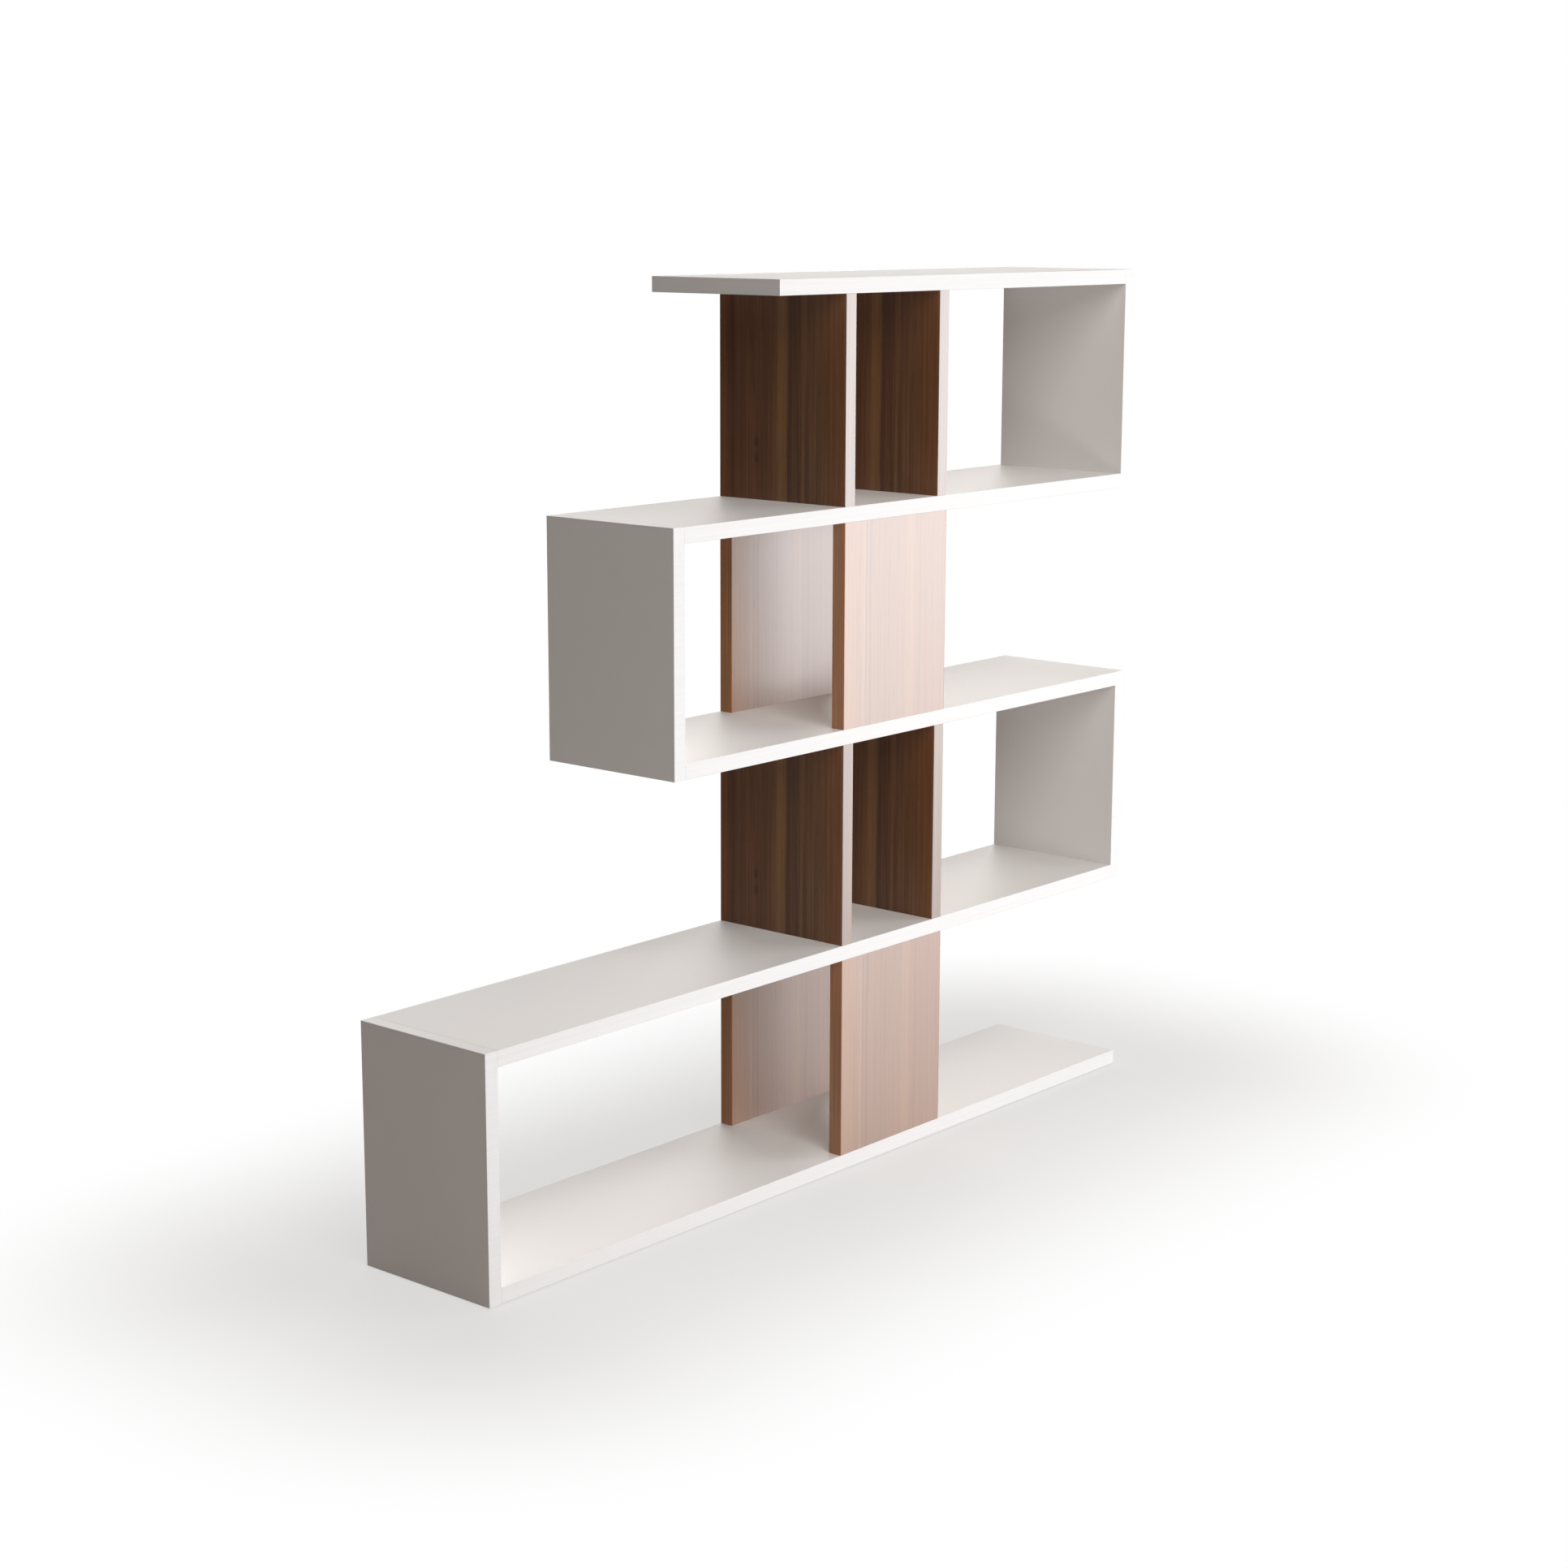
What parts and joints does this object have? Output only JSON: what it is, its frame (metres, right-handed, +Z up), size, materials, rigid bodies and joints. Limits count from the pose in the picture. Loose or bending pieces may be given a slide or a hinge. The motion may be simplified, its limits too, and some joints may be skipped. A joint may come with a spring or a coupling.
{
  "type": "zigzag bookshelf",
  "caption": "Free-standing zigzag bookshelf: white shelves folded left and right by end panels, around a square walnut column whose panels change direction from tier to tier.",
  "frame": {"origin": "on the floor, under the middle of the overall width and depth, in line with the column's left face", "axes": "+X to the right along the shelves, +Y to the back, +Z up"},
  "size_m": [2.06, 0.34, 1.875],
  "materials": {
    "white_melamine": "matte",
    "walnut_veneer": "satin",
    "white_edge_band": "matte",
    "walnut_edge_band": "satin",
    "white_cap": "matte",
    "brown_cap": "matte",
    "zinc_lock": "satin",
    "plated_steel": "satin",
    "beech_dowel": "matte",
    "glide_plastic": "matte"
  },
  "bodies": {
    "root": {"bottom_shelf": "white_melamine", "bottom_shelf_edge_bands": "white_edge_band", "floor_glides": "glide_plastic", "fourth_shelf": "white_melamine", "fourth_shelf_edge_bands": "white_edge_band", "glide_nails": "plated_steel", "second_shelf": "white_melamine", "second_shelf_edge_bands": "white_edge_band", "third_shelf": "white_melamine", "third_shelf_edge_bands": "white_edge_band", "tier1_back_panel": "walnut_veneer", "tier1_back_panel_edge_bands": "walnut_edge_band", "tier1_cam_bolts": "plated_steel", "tier1_cam_locks": "zinc_lock", "tier1_dowels": "beech_dowel", "tier1_front_panel": "walnut_veneer", "tier1_front_panel_edge_bands": "walnut_edge_band", "tier1_left_end_panel": "white_melamine", "tier1_left_end_panel_edge_bands": "white_edge_band", "tier1_walnut_cam_caps": "brown_cap", "tier1_white_cam_caps": "white_cap", "tier2_cam_bolts": "plated_steel", "tier2_cam_locks": "zinc_lock", "tier2_dowels": "beech_dowel", "tier2_left_divider": "walnut_veneer", "tier2_left_divider_edge_bands": "walnut_edge_band", "tier2_right_divider": "walnut_veneer", "tier2_right_divider_edge_bands": "walnut_edge_band", "tier2_right_end_panel": "white_melamine", "tier2_right_end_panel_edge_bands": "white_edge_band", "tier2_walnut_cam_caps": "brown_cap", "tier2_white_cam_caps": "white_cap", "tier3_back_panel": "walnut_veneer", "tier3_back_panel_edge_bands": "walnut_edge_band", "tier3_cam_bolts": "plated_steel", "tier3_cam_locks": "zinc_lock", "tier3_dowels": "beech_dowel", "tier3_front_panel": "walnut_veneer", "tier3_front_panel_edge_bands": "walnut_edge_band", "tier3_left_end_panel": "white_melamine", "tier3_left_end_panel_edge_bands": "white_edge_band", "tier3_walnut_cam_caps": "brown_cap", "tier3_white_cam_caps": "white_cap", "tier4_cam_bolts": "plated_steel", "tier4_cam_locks": "zinc_lock", "tier4_dowels": "beech_dowel", "tier4_left_divider": "walnut_veneer", "tier4_left_divider_edge_bands": "walnut_edge_band", "tier4_right_divider": "walnut_veneer", "tier4_right_divider_edge_bands": "walnut_edge_band", "tier4_right_end_panel": "white_melamine", "tier4_right_end_panel_edge_bands": "white_edge_band", "tier4_walnut_cam_caps": "brown_cap", "tier4_white_cam_caps": "white_cap", "top_shelf": "white_melamine", "top_shelf_edge_bands": "white_edge_band"}
  },
  "joints": []
}
